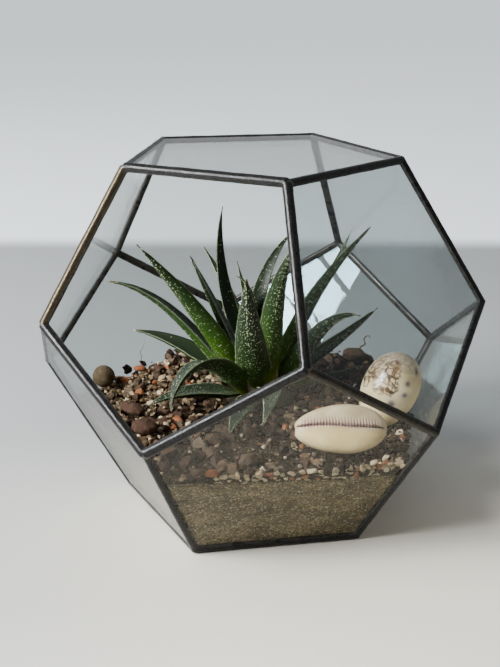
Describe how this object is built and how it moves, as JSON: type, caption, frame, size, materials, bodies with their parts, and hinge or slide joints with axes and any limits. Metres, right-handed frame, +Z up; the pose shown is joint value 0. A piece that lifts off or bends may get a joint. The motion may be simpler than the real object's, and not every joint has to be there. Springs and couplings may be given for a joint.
{
  "type": "glass plant terrarium",
  "caption": "Geometric glass case of pentagonal panes in dark soldered seams, one face open, planted with a spotted aloe in sand and gravel, with cowrie shells.",
  "frame": {"origin": "middle of the case's footprint, on the flat undersides of the base seams", "axes": "+Z up through the middles of the base and top panes; the open face looks towards -Y; +X to the right of someone facing it"},
  "size_m": [0.2666, 0.2806, 0.2277],
  "materials": {
    "clear_glass": "polished",
    "dark_patina_solder": "satin",
    "sandy_compost": "matte",
    "mixed_gravel": "matte",
    "fibrous_roots": "matte",
    "aloe_leaf": "satin",
    "pale_cowrie_shell": "gloss",
    "mottled_cowrie_shell": "gloss",
    "brown_stone": "matte",
    "terracotta": "matte"
  },
  "bodies": {
    "root": {"back_brown_stone": "brown_stone", "base_ring": "dark_patina_solder", "doorway_rim": "dark_patina_solder", "flat_brown_stone": "brown_stone", "gravel_bed": "mixed_gravel", "leaf_01": "aloe_leaf", "leaf_02": "aloe_leaf", "leaf_03": "aloe_leaf", "leaf_04": "aloe_leaf", "leaf_05": "aloe_leaf", "leaf_06": "aloe_leaf", "leaf_07": "aloe_leaf", "leaf_08": "aloe_leaf", "leaf_09": "aloe_leaf", "leaf_10": "aloe_leaf", "leaf_11": "aloe_leaf", "leaf_12": "aloe_leaf", "leaf_13": "aloe_leaf", "leaf_14": "aloe_leaf", "leaf_15": "aloe_leaf", "leaf_16": "aloe_leaf", "leaf_17": "aloe_leaf", "leaf_18": "aloe_leaf", "leaf_19": "aloe_leaf", "leaf_20": "aloe_leaf", "lower_strut_1": "dark_patina_solder", "lower_strut_2": "dark_patina_solder", "lower_strut_3": "dark_patina_solder", "lower_strut_4": "dark_patina_solder", "lower_strut_5": "dark_patina_solder", "middle_seam_1": "dark_patina_solder", "middle_seam_2": "dark_patina_solder", "middle_seam_3": "dark_patina_solder", "middle_seam_4": "dark_patina_solder", "middle_seam_5": "dark_patina_solder", "middle_seam_6": "dark_patina_solder", "middle_seam_7": "dark_patina_solder", "middle_seam_8": "dark_patina_solder", "mottled_cowrie": "mottled_cowrie_shell", "pale_cowrie": "pale_cowrie_shell", "pane_base": "clear_glass", "pane_lower_1": "clear_glass", "pane_lower_2": "clear_glass", "pane_lower_3": "clear_glass", "pane_lower_4": "clear_glass", "pane_lower_5": "clear_glass", "pane_top": "clear_glass", "pane_upper_1": "clear_glass", "pane_upper_2": "clear_glass", "pane_upper_3": "clear_glass", "pane_upper_4": "clear_glass", "pitted_stone": "brown_stone", "red_brown_pebble": "brown_stone", "sand_bed": "sandy_compost", "stem_and_roots": "fibrous_roots", "terracotta_chip": "terracotta", "top_ring": "dark_patina_solder", "upper_strut_1": "dark_patina_solder", "upper_strut_2": "dark_patina_solder", "upper_strut_3": "dark_patina_solder"}
  },
  "joints": []
}
